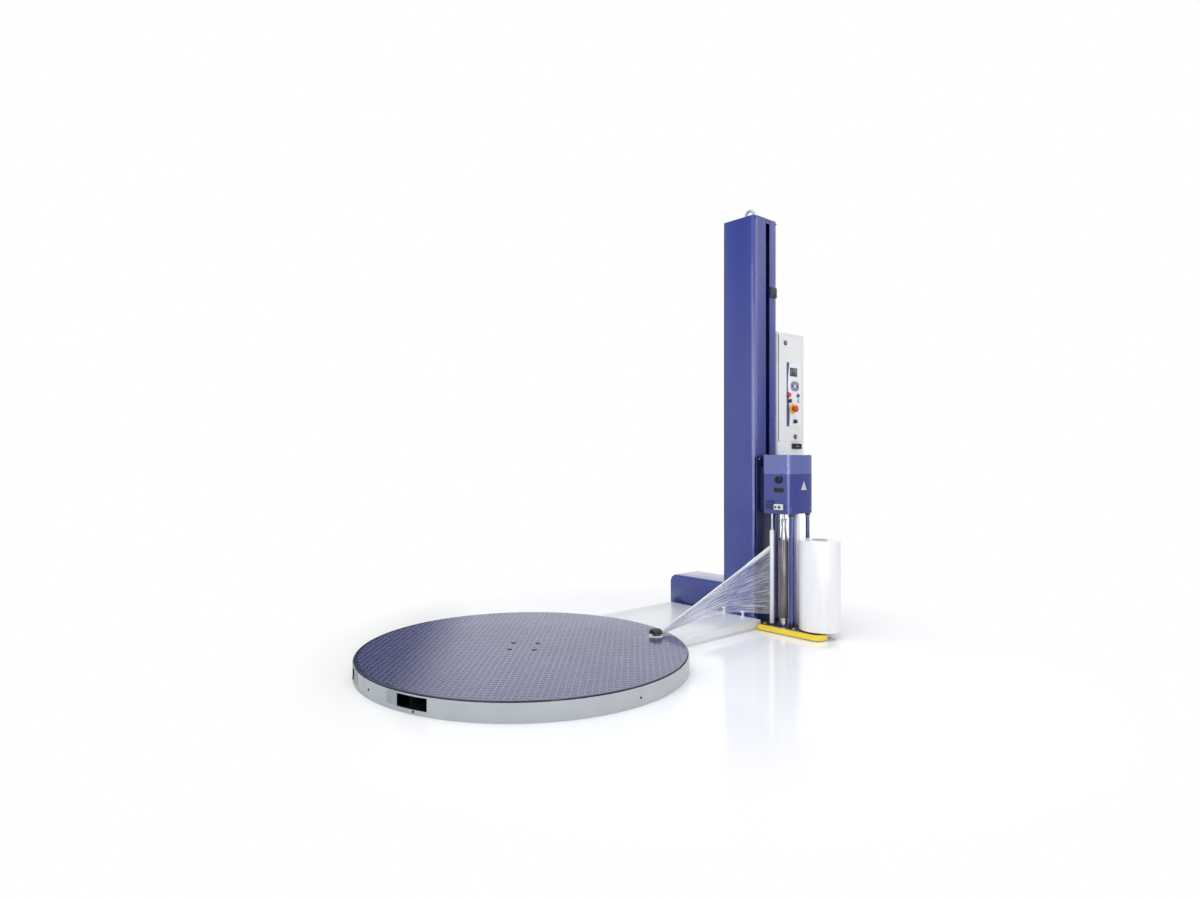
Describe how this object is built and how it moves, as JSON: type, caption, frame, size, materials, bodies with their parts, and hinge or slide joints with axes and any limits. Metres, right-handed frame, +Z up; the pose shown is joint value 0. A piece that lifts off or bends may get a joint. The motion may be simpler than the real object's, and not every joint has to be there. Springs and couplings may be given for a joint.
{
  "type": "turntable pallet wrapper",
  "caption": "Low round turntable with fork pockets, joined by a base arm to a slotted mast that lifts a powered film carriage; control cabinet beside the mast.",
  "frame": {"origin": "on the floor under the centre of the turntable", "axes": "+Z up, +X from the turntable to the mast, -Y towards the film carriage's side of the mast"},
  "size_m": [2.6815, 1.513, 2.404],
  "materials": {
    "mast_blue": "semi-gloss blue powder coat",
    "disc_navy": "navy coat on patterned anti-slip plate",
    "light_grey": "light grey powder coat",
    "black_steel": "matt black coat",
    "dark_steel": "oiled dark steel",
    "stretch_rubber": "smooth dark polyurethane sleeve",
    "bright_steel": "zinc plated",
    "motor_grey": "grey casting",
    "black_plastic": "moulded black plastic",
    "white_plastic": "moulded white plastic",
    "panel_white": "satin white overlay",
    "display_dark": "dark display window",
    "keypad_grey": "grey membrane keypad",
    "stop_red": "red stop head",
    "stop_yellow": "yellow collar",
    "roller_white": "white coated roller",
    "film_white": "wound stretch film",
    "film_clear": "clear stretched film",
    "cardboard": "spiral wound cardboard",
    "guard_yellow": "safety yellow coat",
    "drive_rubber": "black toothed rubber belt"
  },
  "bodies": {
    "frame": {"base_plate": "light_grey", "base_ring": "light_grey", "arm_cover": "light_grey", "mast_foot": "light_grey", "motor_cover": "mast_blue", "turntable_gearmotor": "motor_grey", "drive_chain": "dark_steel", "mast_column": "mast_blue", "mast_cap": "mast_blue", "lift_gearmotor": "motor_grey", "lift_belt": "drive_rubber", "limit_switch": "black_plastic", "cabinet_shell": "light_grey", "power_socket": "black_plastic", "film_web": "film_clear"},
    "turntable": {"turntable_disc": "disc_navy", "turntable_hub": "bright_steel", "turntable_sprocket": "dark_steel", "clamp_washer": "white_plastic"},
    "clamp_knob": {"clamp_knob": "black_plastic"},
    "motor_sprocket": {"motor_sprocket": "dark_steel"},
    "support_roller_1": {"support_roller_1": "black_plastic"},
    "support_roller_2": {"support_roller_2": "black_plastic"},
    "support_roller_3": {"support_roller_3": "black_plastic"},
    "support_roller_4": {"support_roller_4": "black_plastic"},
    "upper_pulley": {"upper_pulley": "dark_steel"},
    "lower_pulley": {"lower_pulley": "dark_steel"},
    "cabinet_door": {"cabinet_door": "light_grey", "control_panel": "panel_white", "display": "display_dark", "keypad": "keypad_grey", "estop_collar": "stop_yellow"},
    "estop_button": {"estop_button": "stop_red"},
    "red_button": {"red_button": "stop_red"},
    "selector_switch": {"selector_switch": "black_plastic"},
    "reset_button": {"reset_button": "keypad_grey"},
    "start_button": {"start_button": "keypad_grey"},
    "speed_knob": {"speed_knob": "black_plastic"},
    "door_lock_upper": {"door_lock_upper": "black_plastic"},
    "door_lock_lower": {"door_lock_lower": "black_plastic"},
    "carriage": {"carriage_backplate": "black_steel", "carriage_floor": "disc_navy", "inner_post": "mast_blue", "front_post": "mast_blue", "rear_post": "mast_blue", "head_housing": "mast_blue", "head_lid": "mast_blue", "photocell": "white_plastic", "stretch_motor": "motor_grey"},
    "tension_knob": {"tension_knob": "motor_grey"},
    "guide_wheels_lower": {"guide_wheels_lower": "white_plastic"},
    "guide_wheels_upper": {"guide_wheels_upper": "white_plastic"},
    "exit_roller": {"exit_roller": "roller_white"},
    "idle_roller": {"idle_roller": "roller_white"},
    "stretch_roller_front": {"stretch_roller_front": "stretch_rubber"},
    "stretch_roller_rear": {"stretch_roller_rear": "stretch_rubber"},
    "film_supply": {"film_roll": "film_white", "roll_core": "cardboard", "roll_mandrel": "black_plastic"},
    "bumper_bar": {"bumper_bar": "guard_yellow"}
  },
  "joints": [
    {"name": "turntable_spin", "type": "hinge", "parent": "frame", "child": "turntable", "pos_m": [0, 0, 0], "axis": [0, 0, 1], "continuous": true},
    {"name": "clamp_knob_lift", "type": "slide", "parent": "turntable", "child": "clamp_knob", "axis": [0, 0, 1], "range_m": [0, 0.008], "stiffness_N_per_m": 200, "springref_m": -0.004},
    {"name": "motor_sprocket_spin", "type": "hinge", "parent": "frame", "child": "motor_sprocket", "pos_m": [1.527, 0.17, 0.033], "axis": [0, 0, 1], "continuous": true},
    {"name": "support_roller_1_spin", "type": "hinge", "parent": "frame", "child": "support_roller_1", "pos_m": [0.43841, 0.43841, 0.0477], "axis": [0.7071, 0.7071, 0], "continuous": true},
    {"name": "support_roller_2_spin", "type": "hinge", "parent": "frame", "child": "support_roller_2", "pos_m": [-0.43841, 0.43841, 0.0477], "axis": [-0.7071, 0.7071, 0], "continuous": true},
    {"name": "support_roller_3_spin", "type": "hinge", "parent": "frame", "child": "support_roller_3", "pos_m": [-0.43841, -0.43841, 0.0477], "axis": [-0.7071, -0.7071, 0], "continuous": true},
    {"name": "support_roller_4_spin", "type": "hinge", "parent": "frame", "child": "support_roller_4", "pos_m": [0.43841, -0.43841, 0.0477], "axis": [0.7071, -0.7071, 0], "continuous": true},
    {"name": "carriage_lift", "type": "slide", "parent": "frame", "child": "carriage", "axis": [0, 0, 1], "range_m": [0, 1.32], "deforming": ["film_web"]},
    {"name": "upper_pulley_spin", "type": "hinge", "parent": "frame", "child": "upper_pulley", "pos_m": [1.543, -0.14, 2.24], "axis": [1, 0, 0], "range_deg": [-1806, 0]},
    {"name": "lower_pulley_spin", "type": "hinge", "parent": "frame", "child": "lower_pulley", "pos_m": [1.543, -0.14, 0.3], "axis": [1, 0, 0], "range_deg": [-1806, 0]},
    {"name": "guide_wheels_lower_spin", "type": "hinge", "parent": "carriage", "child": "guide_wheels_lower", "pos_m": [1.543, -0.2355, 0.68], "axis": [1, 0, 0], "range_deg": [-4207, 0]},
    {"name": "guide_wheels_upper_spin", "type": "hinge", "parent": "carriage", "child": "guide_wheels_upper", "pos_m": [1.543, -0.2355, 0.88], "axis": [1, 0, 0], "range_deg": [0, 4207]},
    {"name": "exit_roller_spin", "type": "hinge", "parent": "carriage", "child": "exit_roller", "pos_m": [1.445, -0.354, 0.3], "axis": [0, 0, 1], "continuous": true},
    {"name": "idle_roller_spin", "type": "hinge", "parent": "carriage", "child": "idle_roller", "pos_m": [1.532, -0.4555, 0.3], "axis": [0, 0, 1], "continuous": true},
    {"name": "stretch_rear_spin", "type": "hinge", "parent": "carriage", "child": "stretch_roller_rear", "pos_m": [1.545, -0.3655, 0.3], "axis": [0, 0, 1], "continuous": true},
    {"name": "stretch_front_spin", "type": "hinge", "parent": "carriage", "child": "stretch_roller_front", "pos_m": [1.468, -0.4135, 0.3], "axis": [0, 0, 1], "continuous": true},
    {"name": "film_supply_spin", "type": "hinge", "parent": "carriage", "child": "film_supply", "pos_m": [1.5, -0.6155, 0.04], "axis": [0, 0, 1], "continuous": true},
    {"name": "tension_knob_turn", "type": "hinge", "parent": "carriage", "child": "tension_knob", "pos_m": [1.424, -0.412, 0.832], "axis": [1, 0, 0], "range_deg": [0, 270]},
    {"name": "bumper_bar_lift", "type": "slide", "parent": "carriage", "child": "bumper_bar", "axis": [0, 0, 1], "range_m": [0, 0.006]},
    {"name": "cabinet_door_open", "type": "hinge", "parent": "frame", "child": "cabinet_door", "pos_m": [1.88135, -0.262, 1.3625], "axis": [0, 0, 1], "range_deg": [0, 110]},
    {"name": "estop_press", "type": "slide", "parent": "cabinet_door", "child": "estop_button", "axis": [0, 1, 0], "range_m": [0, 0.006]},
    {"name": "red_button_press", "type": "slide", "parent": "cabinet_door", "child": "red_button", "axis": [0, 1, 0], "range_m": [0, 0.003], "stiffness_N_per_m": 100, "springref_m": -0.001},
    {"name": "reset_button_press", "type": "slide", "parent": "cabinet_door", "child": "reset_button", "axis": [0, 1, 0], "range_m": [0, 0.003], "stiffness_N_per_m": 100, "springref_m": -0.001},
    {"name": "start_button_press", "type": "slide", "parent": "cabinet_door", "child": "start_button", "axis": [0, 1, 0], "range_m": [0, 0.003], "stiffness_N_per_m": 100, "springref_m": -0.001},
    {"name": "selector_switch_turn", "type": "hinge", "parent": "cabinet_door", "child": "selector_switch", "pos_m": [1.753, -0.264, 1.289], "axis": [0, 1, 0], "range_deg": [-45, 45]},
    {"name": "speed_knob_turn", "type": "hinge", "parent": "cabinet_door", "child": "speed_knob", "pos_m": [1.805, -0.264, 1.169], "axis": [0, 1, 0], "range_deg": [0, 270]},
    {"name": "door_lock_upper_turn", "type": "hinge", "parent": "cabinet_door", "child": "door_lock_upper", "pos_m": [1.712, -0.262, 1.628], "axis": [0, 1, 0], "range_deg": [0, 90]},
    {"name": "door_lock_lower_turn", "type": "hinge", "parent": "cabinet_door", "child": "door_lock_lower", "pos_m": [1.816, -0.262, 1.078], "axis": [0, 1, 0], "range_deg": [0, 90]}
  ],
  "couplings": [
    {"joint": "motor_sprocket_spin", "follows": "turntable_spin", "ratio": 3.6},
    {"joint": "support_roller_1_spin", "follows": "turntable_spin", "ratio": -25.833},
    {"joint": "support_roller_2_spin", "follows": "turntable_spin", "ratio": -25.833},
    {"joint": "support_roller_3_spin", "follows": "turntable_spin", "ratio": -25.833},
    {"joint": "support_roller_4_spin", "follows": "turntable_spin", "ratio": -25.833},
    {"joint": "upper_pulley_spin", "follows": "carriage_lift", "rad_per_m": -23.81},
    {"joint": "lower_pulley_spin", "follows": "carriage_lift", "rad_per_m": -23.81},
    {"joint": "guide_wheels_lower_spin", "follows": "carriage_lift", "rad_per_m": -55.556},
    {"joint": "guide_wheels_upper_spin", "follows": "carriage_lift", "rad_per_m": 55.556},
    {"joint": "stretch_front_spin", "follows": "stretch_rear_spin", "ratio": -1.4444}
  ]
}
